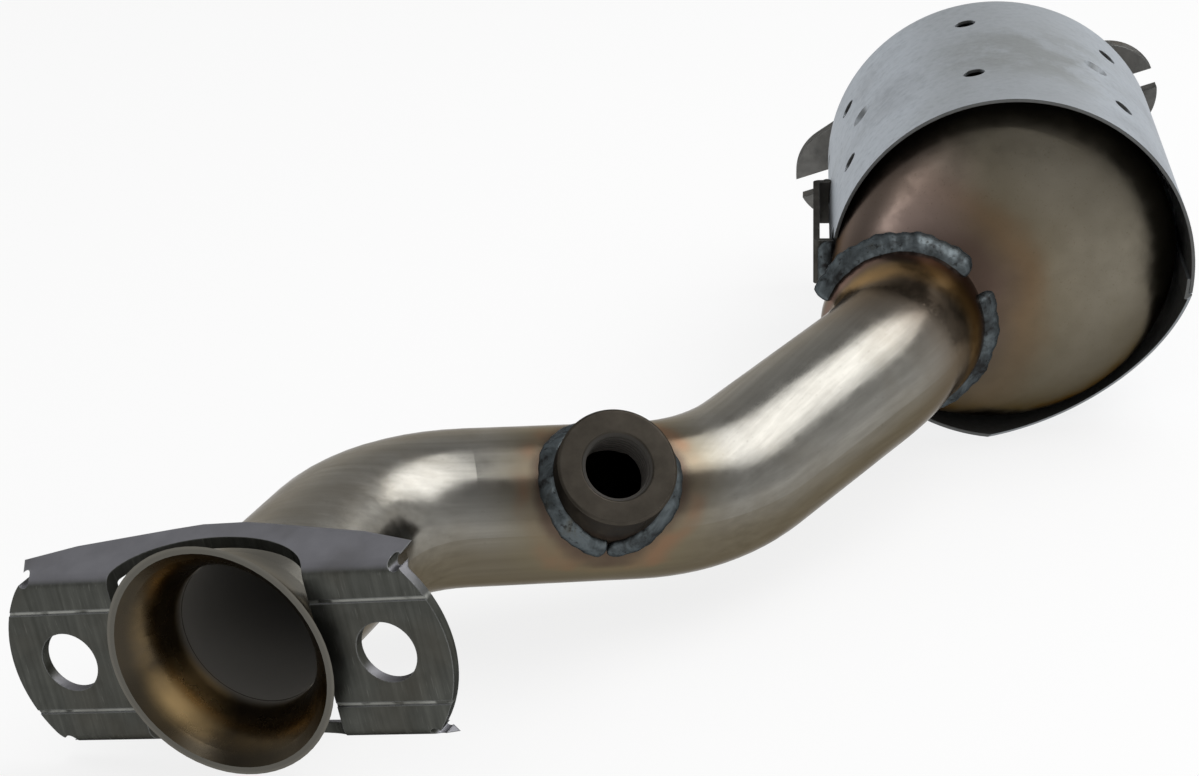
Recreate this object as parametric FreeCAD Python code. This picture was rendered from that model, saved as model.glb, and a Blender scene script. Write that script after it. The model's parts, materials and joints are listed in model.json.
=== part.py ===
"""Catalytic converter with a flanged, bent front pipe. Units are millimetres.

The frame starts midway between the two bolt holes, on the front face of the inlet flange.
+Y runs along the axis of the converter can in the direction of the gas, +Z is up and +X is
to the right. The pieces are laid out from the middle of the flared mouth and moved to the
frame as they are saved.
"""
import FreeCAD, Part
import math
import os

V = FreeCAD.Vector

# Front pipe
PIPE_OD = 42.0
PIPE_WALL = 1.5
INLET_ANGLE = 17.0          # between the inlet axis and the can axis, in plan
RUN_TO_BEND_1 = 85.5
BEND_2_POINT = V(111.0, 107.0, -7.5)
BEND_RADII = (45.0, 56.0, 56.0)
FLARE_OD = 60.2
FLARE_DEPTH = 16.5
FLARE_SLOPE = 46.5          # degrees off the pipe axis at the lip
FLARE_WALL = 1.3
COLLAR_PLAY = 0.1

# Inlet flange, a folded sheet that is loose behind the flare
FLANGE_SHEET = 3.0
FLANGE_SETBACK = 4.4
FLANGE_ROLL = 11.3
FLANGE_SEAT_GAP = 0.14
FLANGE_SAG = 1.0
FLANGE_HALF_LENGTH = 60.5
FLANGE_FACE_HEIGHT = 43.5
FLANGE_END_RADIUS = 31.5
FLANGE_EYE_PLAY = 1.54        # eye to flare, at the depth where the flange hangs
FLANGE_FOLD_RADIUS = 4.0
FLANGE_LEAN = 22.0          # how far the folded margins lean out from square
RIM_DEPTH_MIDDLE = 15.5
RIM_DEPTH_END = 7.0
RIM_BRIDGE = 4.2
BOLT_SPACING = 88.0
BOLT_HOLE = 15.5
CREASE_OFFSET = 13.4
CREASE_DEPTH = 0.35

# Sensor boss
BOSS_OD = 31.4
BOSS_BORE = 16.4
BOSS_HEIGHT = 30.6          # from the pipe axis to the seat
BOSS_RUN = 0.66             # share of the run between the first two bends
BOSS_TIP_UP = 42.0          # seat turned up from level, about the pipe axis
BOSS_CHAMFER = 0.6

# Converter can
CAN_X = 199.0
CAN_Z = 14.5
CAN_OD = 101.0
CAN_WALL = 1.5
CAN_FRONT = 240.0
CAN_LENGTH = 74.0
DOME_DEPTH = 40.0
DOME_SKIRT = 5.0
NECK_X = 166.0
NECK_Z = 5.0
NECK_DROP = 5.0             # tilt of the neck axis below level, degrees
CONE_DEPTH = 30.0
OUTLET_SHIFT = -4.0
OUTLET_OD = 42.0
OUTLET_END = 358.0
SHELL_WALL = 1.5

# Inside the can
BLOCK_OD = 90.0
BLOCK_LENGTH = 66.0
BLOCK_START = 244.0
SEAL_WIDTH = 4.0

# Outlet flange
OUT_FLANGE_THICK = 6.0
OUT_HUB_R = 30.0
OUT_EAR_R = 16.5
OUT_EAR_REACH = 47.0
OUT_EAR_TILT = 18.0
OUT_SLOT = 7.0

# Heat shield, two equal halves a half turn apart
SHIELD_AIR = 2.8             # between the can and the shield
SHIELD_SHEET = 1.0
SHIELD_OVER_DOME = 22.0      # reach past the front edge of the can
SHIELD_OVER_CONE = 10.5      # reach past the rear edge of the can
SEAM_ANGLE = -7.5
TRIM_ARC = -52.0             # the way the slanting cut faces, seen from the front
TRIM_CHORD = 39.0            # where the slant starts, from the middle of the can
TRIM_DEPTH = 15.0            # how far back it takes the edge
SEAM_GAP = 0.4
LAP_ARC = 5.0
SHIELD_HOLE = 6.6
HOLE_STATIONS = (30.0, 84.0)
HOLE_ARCS = (58.0, 109.0, 160.0)
DIMPLE_STATION = 57.0
DIMPLE_ARCS = (66.0, 152.0)
DIMPLE_R = 5.6
DIMPLE_TIP_R = 2.4
SPOT_STATIONS = (16.0, 53.0, 92.0)

# Side strap across the left seam
STRAP_SHEET = 2.0
STRAP_HEIGHT = 14.0
STRAP_STAND = 5.0
STRAP_INSET = 4.0            # behind the front edge of the shield
STRAP_LENGTH = 56.0

BEAD_R = 2.6
NECK_BEAD_R = 3.4

os.makedirs("parts", exist_ok=True)


def rad(degrees):
    return math.radians(degrees)


def unit(vector):
    return V(vector).normalize()


def save(shape, name):
    shape = shape.removeSplitter()
    shape.translate(datum * -1)
    if len(shape.Solids) == 1:
        shape = shape.Solids[0]
    shape.exportStep("parts/" + name + ".step")
    print(name, len(shape.Solids), "solid", shape.isValid(), round(shape.Volume), "mm3")


def circle_wire(centre, normal, radius):
    return Part.Wire(Part.makeCircle(radius, centre, normal))


# ---------------------------------------------------------------- shared geometry
inlet_axis = V(math.sin(rad(INLET_ANGLE)), math.cos(rad(INLET_ANGLE)), 0)
neck_axis = V(0, math.cos(rad(NECK_DROP)), -math.sin(rad(NECK_DROP)))
can_axis = V(0, 1, 0)
neck_mouth = V(NECK_X, CAN_FRONT - DOME_DEPTH, NECK_Z)
pipe_r = PIPE_OD / 2
bore_r = pipe_r - PIPE_WALL
bend_1 = inlet_axis * RUN_TO_BEND_1
bend_3 = neck_mouth - neck_axis * 22.5
pipe_end = neck_mouth + neck_axis * 9.0
corners = [V(0, 0, 0), bend_1, BEND_2_POINT, bend_3, pipe_end]
cross_run = unit(BEND_2_POINT - bend_1)

# flange axes: along the bolt line, up the face, and back along the pipe
flange_along = FreeCAD.Rotation(inlet_axis, -FLANGE_ROLL).multVec(
    unit(V(inlet_axis.y, -inlet_axis.x, 0)))
flange_up = unit(flange_along.cross(inlet_axis))

# bell of the pipe: an arc from the tube, then a short cone to the mouth
flare_rise = FLARE_OD / 2 - pipe_r
flare_arc = ((FLARE_DEPTH * math.tan(rad(FLARE_SLOPE)) - flare_rise)
             / (1 / math.cos(rad(FLARE_SLOPE)) - 1))
seat_depth = FLARE_DEPTH - FLANGE_SETBACK
flare_r_at_seat = pipe_r + flare_arc - math.sqrt(flare_arc ** 2 - seat_depth ** 2)
datum = (inlet_axis * FLANGE_SETBACK - flange_along * (FLANGE_EYE_PLAY - FLANGE_SEAT_GAP)
         - flange_up * FLANGE_SAG)


def bent_path(points, radii):
    """Straight runs joined by tangent arcs."""
    edges = []
    here = points[0]
    for corner, before, after, radius in zip(points[1:-1], points, points[2:], radii):
        back = unit(before - corner)
        on = unit(after - corner)
        turn = math.pi - back.getAngle(on)
        reach = radius * math.tan(turn / 2)
        start = corner + back * reach
        end = corner + on * reach
        inward = unit(back + on)
        middle = corner + inward * (math.hypot(radius, reach) - radius)
        edges.append(Part.makeLine(here, start))
        edges.append(Part.Arc(start, middle, end).toShape())
        here = end
    edges.append(Part.makeLine(here, points[-1]))
    return Part.Wire(edges)


def swept(path, start, direction, radius):
    return path.makePipeShell([circle_wire(start, direction, radius)], True, False)


def lofted(sections):
    wires = [circle_wire(centre, normal, radius) for centre, normal, radius in sections]
    return Part.makeLoft(wires, True, False)


def bead(centre, normal, ring_r, first, last, size):
    """A stroke of weld on a circle, rounded off at both ends; a full turn is a plain ring."""
    if last - first >= 360:
        return Part.makeTorus(ring_r, size, centre, normal)
    spin = FreeCAD.Rotation(V(0, 0, 1), normal)

    def spot(angle):
        flat = V(ring_r * math.cos(rad(angle)), ring_r * math.sin(rad(angle)), 0)
        return centre + spin.multVec(flat)

    spine = Part.Wire(Part.Arc(spot(first), spot((first + last) / 2), spot(last)).toShape())
    start = unit(spot(first + 1) - spot(first - 1))
    shape = spine.makePipeShell([circle_wire(spot(first), start, size)], True, False)
    for angle in (first, last):
        shape = shape.fuse(Part.makeSphere(size, spot(angle)))
    return shape


# ---------------------------------------------------------------- front pipe
def flare_edges(wall, start):
    """Bell outline drawn in from the outside by a wall: an arc from the tube, then a short cone.

    The line begins at start, a depth behind the arc, and ends where the cone meets the mouth.
    """
    slope = rad(FLARE_SLOPE)
    radius = flare_arc + wall

    def on_arc(turn):
        return V(FLARE_DEPTH - radius * math.sin(turn), pipe_r + flare_arc - radius * math.cos(turn), 0)

    tangent = on_arc(slope)
    lip = V(-1.0, tangent.y + (tangent.x + 1.0) * math.tan(slope), 0)
    line = [Part.makeLine(V(start, on_arc(0).y, 0), on_arc(0)),
            Part.Arc(on_arc(0), on_arc(slope / 2), tangent).toShape(),
            Part.makeLine(tangent, lip)]
    return line, lip


def flare_solid(wall, start):
    """Solid of revolution inside a bell outline, from a start depth to just past the mouth."""
    line, lip = flare_edges(wall, start)
    first = V(start, line[0].Vertexes[0].Point.y, 0)
    ends = [Part.makeLine(lip, V(lip.x, 0, 0)), Part.makeLine(V(lip.x, 0, 0), V(start, 0, 0)),
            Part.makeLine(V(start, 0, 0), first)]
    face = Part.Face(Part.Wire(Part.__sortEdges__(line + ends)))
    body = face.revolve(V(0, 0, 0), V(1, 0, 0), 360)
    body.Placement = FreeCAD.Placement(V(0, 0, 0), FreeCAD.Rotation(V(1, 0, 0), inlet_axis))
    return body


def make_inlet_pipe():
    path = bent_path(corners, BEND_RADII)
    outer = swept(path, corners[0], inlet_axis, pipe_r)
    inner = swept(path, corners[0], inlet_axis, bore_r)
    front = Part.makeCylinder(FLARE_OD, 10, inlet_axis * -10, inlet_axis)
    pipe = outer.fuse(flare_solid(0, FLARE_DEPTH + 1)).cut(front)
    pipe = pipe.cut(inner).cut(flare_solid(FLARE_WALL, FLARE_DEPTH + 1))
    hole = Part.makeCylinder(BOSS_BORE / 2 + 0.6, 40, boss_foot, boss_axis)
    return pipe.cut(hole)


# ---------------------------------------------------------------- inlet flange
def make_inlet_flange():
    """Built flat: x along the bolts, y up the face, z back along the pipe."""
    half = FLANGE_FACE_HEIGHT / 2
    reach = 40.0
    lean = rad(FLANGE_LEAN)
    tip_y = half + reach * math.sin(lean)
    tip_z = reach * math.cos(lean)
    span = 2 * FLANGE_HALF_LENGTH + 20

    def channel(shrink, depth):
        rise = half - shrink
        tip = rise + (tip_y - half)
        pts = [V(-span / 2, -tip, tip_z), V(-span / 2, -rise, depth),
               V(-span / 2, rise, depth), V(-span / 2, tip, tip_z)]
        face = Part.Face(Part.makePolygon(pts + [pts[0]]))
        return face.extrude(V(span, 0, 0))

    outside = channel(0, 0)
    folds = [e for e in outside.Edges
             if e.Length > span - 1 and abs(e.CenterOfMass.z) < 0.1]
    outside = outside.makeFillet(FLANGE_FOLD_RADIUS, folds)
    wall_step = FLANGE_SHEET / math.cos(lean)
    inside = channel(wall_step - FLANGE_SHEET * math.tan(lean), FLANGE_SHEET)
    folds = [e for e in inside.Edges
             if e.Length > span - 1 and abs(e.CenterOfMass.z - FLANGE_SHEET) < 0.1]
    inside = inside.makeFillet(FLANGE_FOLD_RADIUS - FLANGE_SHEET, folds)
    sheet = outside.cut(inside)

    # end arcs seen from the front
    arc_mid = FLANGE_HALF_LENGTH - FLANGE_END_RADIUS
    left = Part.makeCylinder(FLANGE_END_RADIUS, 60, V(arc_mid, 0, -10))
    right = Part.makeCylinder(FLANGE_END_RADIUS, 60, V(-arc_mid, 0, -10))
    corner_x = arc_mid + math.sqrt(FLANGE_END_RADIUS ** 2 - (half + 1.0) ** 2)
    flare_x = corner_x + 4.0
    outline = [V(-corner_x, 0, -10), V(-corner_x, half, -10), V(-flare_x, half + 4, -10),
               V(-flare_x, 60, -10), V(flare_x, 60, -10), V(flare_x, half + 4, -10),
               V(corner_x, half, -10), V(corner_x, 0, -10)]
    upper = Part.Face(Part.makePolygon(outline + [outline[0]])).extrude(V(0, 0, 70))
    lower = upper.mirror(V(0, 0, 0), V(0, 1, 0))
    sheet = sheet.common(upper.fuse([lower, left, right]))

    # depth of the folded margins seen from above
    end_d = RIM_DEPTH_END
    mid_d = RIM_DEPTH_MIDDLE
    step_d = end_d + (mid_d - end_d) * 0.44
    plan = [V(-70, -60, -5), V(-70, -60, end_d), V(-flare_x, -60, end_d), V(-40, -60, step_d),
            V(-14, -60, mid_d - 1), V(-6, -60, mid_d), V(6, -60, mid_d), V(14, -60, mid_d - 1),
            V(40, -60, step_d), V(flare_x, -60, end_d), V(70, -60, end_d), V(70, -60, -5)]
    sheet = sheet.common(Part.Face(Part.makePolygon(plan + [plan[0]])).extrude(V(0, 120, 0)))

    # the eye: straight sided through the face, round bottomed in both margins
    eye = flare_r_at_seat + FLANGE_EYE_PLAY
    notch = mid_d - RIM_BRIDGE
    slot = Part.makeBox(2 * eye, 120, 30 + notch - 12, V(-eye, -60, -30))
    ease = Part.makeCylinder(eye, 120, V(0, -60, 0), V(0, 1, 0))
    squash = FreeCAD.Matrix()
    squash.scale(1, 1, 12 / eye)
    ease = ease.transformGeometry(squash)
    ease.translate(V(0, 0, notch - 12))
    sheet = sheet.cut(slot.fuse(ease))

    for side in (-1, 1):
        hole = Part.makeCylinder(BOLT_HOLE / 2, 20, V(side * BOLT_SPACING / 2, 0, -5))
        sheet = sheet.cut(hole)
        for level in (-1, 1):
            for end in (-1, 1):
                groove = Part.makeBox(80, 1.0, CREASE_DEPTH + 1,
                                      V(0 if end > 0 else -80, level * CREASE_OFFSET - 0.5, -1))
                if end == side:
                    sheet = sheet.cut(groove)
            relief = Part.makeCylinder(1.6, 12, V(side * (corner_x + 0.4), level * half, -2))
            sheet = sheet.cut(relief)
    return sheet


def place_flange(shape):
    turn = FreeCAD.Matrix()
    turn.A11, turn.A12, turn.A13 = flange_along.x, flange_up.x, inlet_axis.x
    turn.A21, turn.A22, turn.A23 = flange_along.y, flange_up.y, inlet_axis.y
    turn.A31, turn.A32, turn.A33 = flange_along.z, flange_up.z, inlet_axis.z
    turn.A14, turn.A24, turn.A34 = datum.x, datum.y, datum.z
    shape = shape.mirror(V(0, 0, 0), V(0, 1, 0))
    turn.A12, turn.A22, turn.A32 = -flange_up.x, -flange_up.y, -flange_up.z
    shape.transformShape(turn)
    return shape


# ---------------------------------------------------------------- sensor boss
boss_foot = bend_1 + (BEND_2_POINT - bend_1) * BOSS_RUN
boss_level = unit(V(cross_run.y, -cross_run.x, 0))
boss_up = unit(boss_level.cross(cross_run))
boss_axis = boss_level * math.cos(rad(BOSS_TIP_UP)) + boss_up * math.sin(rad(BOSS_TIP_UP))
boss_across = unit(cross_run.cross(boss_axis))


def make_sensor_boss():
    body = Part.makeCylinder(BOSS_OD / 2, BOSS_HEIGHT, boss_foot, boss_axis)
    rim = [e for e in body.Edges
           if e.CenterOfMass.distanceToPoint(boss_foot + boss_axis * BOSS_HEIGHT) < 0.01]
    body = body.makeChamfer(BOSS_CHAMFER, rim)
    bore = Part.makeCylinder(BOSS_BORE / 2, BOSS_HEIGHT + 5, boss_foot, boss_axis)
    lead = Part.makeCone(BOSS_BORE / 2, BOSS_BORE / 2 + 1.4, 1.4,
                         boss_foot + boss_axis * (BOSS_HEIGHT - 1.4), boss_axis)
    pipe = Part.makeCylinder(pipe_r, 80, boss_foot - cross_run * 40, cross_run)
    return body.cut(bore).cut(lead).cut(pipe)


def make_boss_weld(first, last):
    """A stroke of weld that follows the saddle between the boss and the pipe."""
    reach = BOSS_OD / 2 + 0.9
    points = []
    for k in range(13):
        angle = rad(first + (last - first) * k / 12)
        out = reach * math.sin(angle)
        lift = math.sqrt((pipe_r + 0.6) ** 2 - out ** 2)
        points.append(boss_foot + cross_run * reach * math.cos(angle)
                      + boss_across * out + boss_axis * lift)
    curve = Part.BSplineCurve()
    curve.interpolate(points)
    spine = Part.Wire(curve.toShape())
    start = curve.tangent(curve.FirstParameter)[0]
    shape = spine.makePipeShell([circle_wire(points[0], start, BEAD_R)], True, False)
    for tip in (points[0], points[-1]):
        shape = shape.fuse(Part.makeSphere(BEAD_R, tip))
    boss = Part.makeCylinder(BOSS_OD / 2, 60, boss_foot, boss_axis)
    pipe = Part.makeCylinder(pipe_r, 80, boss_foot - cross_run * 40, cross_run)
    return shape.cut(boss).cut(pipe)


# ---------------------------------------------------------------- dome, can and outlet
can_r = CAN_OD / 2
can_mid = V(CAN_X, 0, CAN_Z)
shield_r = can_r + SHIELD_AIR + SHIELD_SHEET
shield_front = CAN_FRONT - SHIELD_OVER_DOME
shield_length = SHIELD_OVER_DOME + CAN_LENGTH + SHIELD_OVER_CONE
strap_front = shield_front + STRAP_INSET
neck_side = V(NECK_X - CAN_X, 0, NECK_Z - CAN_Z)
neck_offset = neck_side.Length
neck_side = unit(neck_side)
collar_r = pipe_r + COLLAR_PLAY + SHELL_WALL


def curve_points(controls, count):
    """Points on a cubic curve through its two end controls, without the first."""
    out = []
    for k in range(1, count + 1):
        t = k / count
        w = ((1 - t) ** 3, 3 * t * (1 - t) ** 2, 3 * t * t * (1 - t), t ** 3)
        out.append(tuple(sum(w[i] * controls[i][j] for i in range(4)) for j in (0, 1)))
    return out


def dome_sections(shrink):
    """Circles from the neck to the skirt. Each one spans the dome from its neck side,
    which is nearly straight, to its far side, which swells out of the neck in an S."""
    near = -neck_offset + collar_r
    far = [(-DOME_DEPTH, near), (-DOME_DEPTH + 2.0, near)]
    hip = (-DOME_DEPTH + 9.0, near + 13.5)
    rim = (-DOME_SKIRT, can_r)
    far += curve_points((far[-1], (far[-1][0] + 3.5, near), (hip[0] - 1.7, hip[1] - 6.0), hip), 4)
    far += curve_points((hip, (hip[0] + 4.4, hip[1] + 15.5), (rim[0] - 13.0, can_r), rim), 6)
    out = []
    for place, reach in far:
        share = (-place - DOME_SKIRT) / (DOME_DEPTH - DOME_SKIRT)
        side = can_r + (neck_offset + collar_r - can_r) * math.sin(share * math.pi / 2)
        centre = can_mid + neck_side * ((side - reach) / 2) + V(0, CAN_FRONT + place, 0)
        tilt = NECK_DROP * max(0, share * 2 - 1)
        normal = V(0, math.cos(rad(tilt)), -math.sin(rad(tilt)))
        out.append((centre, normal, (side + reach) / 2 - shrink))
    return out


def dome_body(shrink):
    skirt = Part.makeCylinder(can_r - shrink, DOME_SKIRT,
                              can_mid + V(0, CAN_FRONT - DOME_SKIRT, 0), can_axis)
    return lofted(dome_sections(shrink)).fuse(skirt)


def make_inlet_dome():
    return dome_body(0).cut(dome_body(SHELL_WALL))


def cone_body(shrink):
    start = CAN_FRONT + CAN_LENGTH
    waist = CONE_DEPTH - 5.0
    middle = (10.0 + waist) / 2
    half = (can_r + collar_r) / 2
    line = [(4.0, can_r)]
    line += curve_points((line[0], (9.0, can_r), (middle - 3, half + 7), (middle, half)), 4)
    line += curve_points(((middle, half), (middle + 3, half - 7), (waist - 4, collar_r),
                          (waist, collar_r)), 4)
    rings = []
    for place, radius in line:
        share = (can_r - radius) / (can_r - collar_r)
        centre = can_mid + V(OUTLET_SHIFT * share, start + place, 0)
        rings.append((centre, can_axis, radius - shrink))
    skirt = Part.makeCylinder(can_r - shrink, 4.0, can_mid + V(0, start, 0), can_axis)
    tail = Part.makeCylinder(collar_r - shrink, CONE_DEPTH - waist,
                             can_mid + V(OUTLET_SHIFT, start + waist, 0), can_axis)
    return lofted(rings).fuse([skirt, tail])


def make_outlet_cone():
    return cone_body(0).cut(cone_body(SHELL_WALL))


def ring_solid(outer_r, inner_r, start, length, centre=None):
    centre = centre or can_mid
    base = V(centre.x, start, centre.z)
    solid = Part.makeCylinder(outer_r, length, base, can_axis)
    if inner_r > 0:
        solid = solid.cut(Part.makeCylinder(inner_r, length + 2, base - V(0, 1, 0), can_axis))
    return solid


outlet_mid = can_mid + V(OUTLET_SHIFT, 0, 0)


def make_outlet_flange():
    front = OUTLET_END - OUT_FLANGE_THICK
    lean = math.acos((OUT_HUB_R - OUT_EAR_R) / OUT_EAR_REACH)
    ring = []
    for side, order in ((0, (1, -1)), (math.pi, (1, -1))):
        for sign in order:
            angle = side + sign * lean
            hub = V(OUT_HUB_R * math.cos(angle), 0, OUT_HUB_R * math.sin(angle))
            ear = V(OUT_EAR_R * math.cos(angle) + OUT_EAR_REACH * math.cos(side), 0,
                    OUT_EAR_R * math.sin(angle))
            ring += [hub, ear] if sign > 0 else [ear, hub]
    order = [ring[1], ring[0], ring[7], ring[6], ring[5], ring[4], ring[3], ring[2]]
    plate = Part.Face(Part.makePolygon(order + [order[0]])).extrude(V(0, OUT_FLANGE_THICK, 0))
    discs = [Part.makeCylinder(OUT_HUB_R, OUT_FLANGE_THICK, V(0, 0, 0), can_axis)]
    for side in (-1, 1):
        discs.append(Part.makeCylinder(OUT_EAR_R, OUT_FLANGE_THICK,
                                       V(side * OUT_EAR_REACH, 0, 0), can_axis))
    plate = plate.fuse(discs)
    for side in (-1, 1):
        plate = plate.cut(Part.makeCylinder(OUT_SLOT / 2, 30, V(side * OUT_EAR_REACH, -5, 0),
                                            can_axis))
        low = OUT_EAR_REACH if side > 0 else -OUT_EAR_REACH - 20
        plate = plate.cut(Part.makeBox(20, 30, OUT_SLOT, V(low, -5, -OUT_SLOT / 2)))
    plate = plate.cut(Part.makeCylinder(OUTLET_OD / 2 + 0.1, 30, V(0, -5, 0), can_axis))
    plate.rotate(V(0, 0, 0), V(0, 1, 0), -OUT_EAR_TILT)
    plate.translate(V(outlet_mid.x, front, outlet_mid.z))
    return plate


# ---------------------------------------------------------------- heat shield
def at_angle(angle, radius, station):
    return can_mid + V(radius * math.cos(rad(angle)), shield_front + station,
                       radius * math.sin(rad(angle)))


def arc_shell(outer_r, thickness, first, last, start, length):
    """Part of a tube wall between two clock angles, measured from +X towards +Z."""
    ring = ring_solid(outer_r, outer_r - thickness, shield_front + start, length)
    wedge = []
    count = 12
    for k in range(count + 1):
        angle = first + (last - first) * k / count
        wedge.append(at_angle(angle, outer_r * 1.3, start - 1))
    centre = at_angle(0, 0, start - 1)
    face = Part.Face(Part.makePolygon([centre] + wedge + [centre]))
    return ring.common(face.extrude(V(0, length + 2, 0)))


def dimple_tools(mid, out):
    """Cup that stands the shield off the can, and the hollow that opens it to the outside."""
    foot = can_r + 0.05
    flank = (DIMPLE_R - DIMPLE_TIP_R) / (shield_r - foot)
    cup = Part.makeCone(DIMPLE_TIP_R, DIMPLE_R, shield_r - foot, mid + out * foot, out)
    drum = Part.makeCylinder(shield_r - 0.2, 30, mid - V(0, 15, 0), can_axis)
    floor_r = foot + SHIELD_SHEET
    rise = shield_r + 3 - floor_r
    narrow = DIMPLE_TIP_R + flank * SHIELD_SHEET - 1.3
    hollow = Part.makeCone(narrow, narrow + flank * rise, rise, mid + out * floor_r, out)
    return cup.common(drum), hollow


def make_shield_half(first):
    inner_r = shield_r - SHIELD_SHEET
    gap = math.degrees(SEAM_GAP / shield_r)
    half = arc_shell(shield_r, SHIELD_SHEET, first + gap, first + 180, 0, shield_length)
    step = 2.0
    inset = SHIELD_SHEET + 0.1
    half = half.fuse(arc_shell(shield_r, SHIELD_SHEET + inset, first + 180 - step, first + 180,
                               0, shield_length))
    half = half.fuse(arc_shell(shield_r - inset, SHIELD_SHEET, first + 180 - step,
                               first + 180 + LAP_ARC, 0, shield_length))
    for arc in DIMPLE_ARCS:
        mid = at_angle(first + arc, 0, DIMPLE_STATION)
        out = unit(at_angle(first + arc, 1, DIMPLE_STATION) - mid)
        cup, hollow = dimple_tools(mid, out)
        half = half.fuse(cup).cut(hollow)
    for station in HOLE_STATIONS:
        for arc in HOLE_ARCS:
            mid = at_angle(first + arc, 0, station)
            out = unit(at_angle(first + arc, 1, station) - mid)
            half = half.cut(Part.makeCylinder(SHIELD_HOLE / 2, 80, mid, out))
    for station in SPOT_STATIONS:
        mid = at_angle(first + 3.0, shield_r - 0.35, station)
        out = unit(mid - at_angle(0, 0, station))
        half = half.cut(Part.makeCylinder(2.4, 3, mid, out))
    return half


def make_slant():
    """Slanting cut that takes the lower right of the shield's front edge back."""
    past = shield_r + 6
    rise = TRIM_DEPTH / (shield_r - TRIM_CHORD) * (past - TRIM_CHORD)
    corner = Part.makePolygon([V(TRIM_CHORD, -5, 0), V(past, -5, 0), V(past, rise, 0), V(TRIM_CHORD, 0, 0),
                               V(TRIM_CHORD, -5, 0)])
    wedge = Part.Face(corner).extrude(V(0, 0, 4 * shield_r))
    wedge.translate(V(0, 0, -2 * shield_r))
    wedge.rotate(V(0, 0, 0), V(0, 1, 0), -TRIM_ARC)
    wedge.translate(can_mid + V(0, shield_front, 0))
    return wedge


def make_relief():
    """Window in the front edge of the shield that clears the neck side of the dome."""
    return arc_shell(shield_r + 3, 8, 168, 226, -2, 12)


# ---------------------------------------------------------------- side strap
def make_strap():
    outer_x = CAN_X - shield_r - STRAP_STAND
    mid_z = CAN_Z + 2.0
    low = mid_z - STRAP_HEIGHT / 2
    plate = Part.makeBox(STRAP_SHEET, STRAP_LENGTH, STRAP_HEIGHT, V(outer_x, strap_front, low))
    for place in (strap_front, strap_front + STRAP_LENGTH - STRAP_SHEET):
        foot = Part.makeBox(STRAP_STAND + 6, STRAP_SHEET, STRAP_HEIGHT, V(outer_x, place, low))
        plate = plate.fuse(foot)
    corners_out = [e for e in plate.Edges
                   if abs(e.Length - STRAP_HEIGHT) < 0.1 and abs(e.CenterOfMass.x - outer_x) < 0.1]
    plate = plate.makeFillet(1.9, corners_out)
    drum = Part.makeCylinder(shield_r + 0.05, STRAP_LENGTH + 20,
                             V(CAN_X, strap_front - 10, CAN_Z), can_axis)
    return plate.cut(drum)


def make_strap_weld(place, size):
    """Short upright bead in the corner between a foot of the strap and the shield."""
    reach = STRAP_HEIGHT / 2 - size
    low = V(CAN_X - shield_r - 0.6, place, CAN_Z + 2.0 - reach)
    high = low + V(0, 0, 2 * reach)
    blob = Part.makeCylinder(size, 2 * reach, low, V(0, 0, 1))
    for end in (low, high):
        blob = blob.fuse(Part.makeSphere(size, end))
    drum = Part.makeCylinder(shield_r + 0.1, 80, V(CAN_X, place - 40, CAN_Z), can_axis)
    return blob.cut(drum)


# ---------------------------------------------------------------- write the nodes
pipe = make_inlet_pipe()
save(pipe, "inlet_pipe")
save(place_flange(make_inlet_flange()), "inlet_flange")
boss = make_sensor_boss()
save(boss, "sensor_boss")
save(make_boss_weld(95, 262), "sensor_weld_left")
save(make_boss_weld(-82, 82), "sensor_weld_right")

dome = make_inlet_dome()
dome_solid = dome_body(0)
pipe_plug = Part.makeCylinder(pipe_r + 0.02, 60, neck_mouth - neck_axis * 30, neck_axis)
save(dome, "inlet_dome")
neck_seat = neck_mouth + neck_axis * 0.6
for name, first, last in (("neck_weld_upper", 168, 320), ("neck_weld_lower", 336, 506)):
    stroke = bead(neck_seat, neck_axis, collar_r + 1.5, first, last, NECK_BEAD_R)
    save(stroke.cut(dome_solid).cut(pipe_plug), name)

save(ring_solid(can_r, can_r - CAN_WALL, CAN_FRONT, CAN_LENGTH), "can_shell")
block_r = BLOCK_OD / 2
can_bore = can_r - CAN_WALL
mat_start = BLOCK_START + SEAL_WIDTH
mat_length = BLOCK_LENGTH - 2 * SEAL_WIDTH
save(ring_solid(block_r, 0, BLOCK_START, BLOCK_LENGTH), "catalyst_block")
save(ring_solid(can_bore, block_r, mat_start, mat_length), "support_mat")
save(ring_solid(can_bore, block_r, BLOCK_START, SEAL_WIDTH), "mat_seal_front")
save(ring_solid(can_bore, block_r, mat_start + mat_length, SEAL_WIDTH), "mat_seal_rear")

save(make_outlet_cone(), "outlet_cone")
tail_start = CAN_FRONT + CAN_LENGTH + CONE_DEPTH - 6
outlet_r = OUTLET_OD / 2
save(ring_solid(outlet_r, outlet_r - PIPE_WALL, tail_start, OUTLET_END - tail_start, outlet_mid),
     "outlet_pipe")
save(make_outlet_flange(), "outlet_flange")

seams = (("dome_seam_weld", CAN_FRONT), ("cone_seam_weld", CAN_FRONT + CAN_LENGTH))
for name, place in seams:
    drum = Part.makeCylinder(can_r, 60, can_mid + V(0, place - 30, 0), can_axis)
    save(bead(can_mid + V(0, place, 0), can_axis, can_r - 0.9, 0, 360, 1.9).cut(drum), name)

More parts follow.
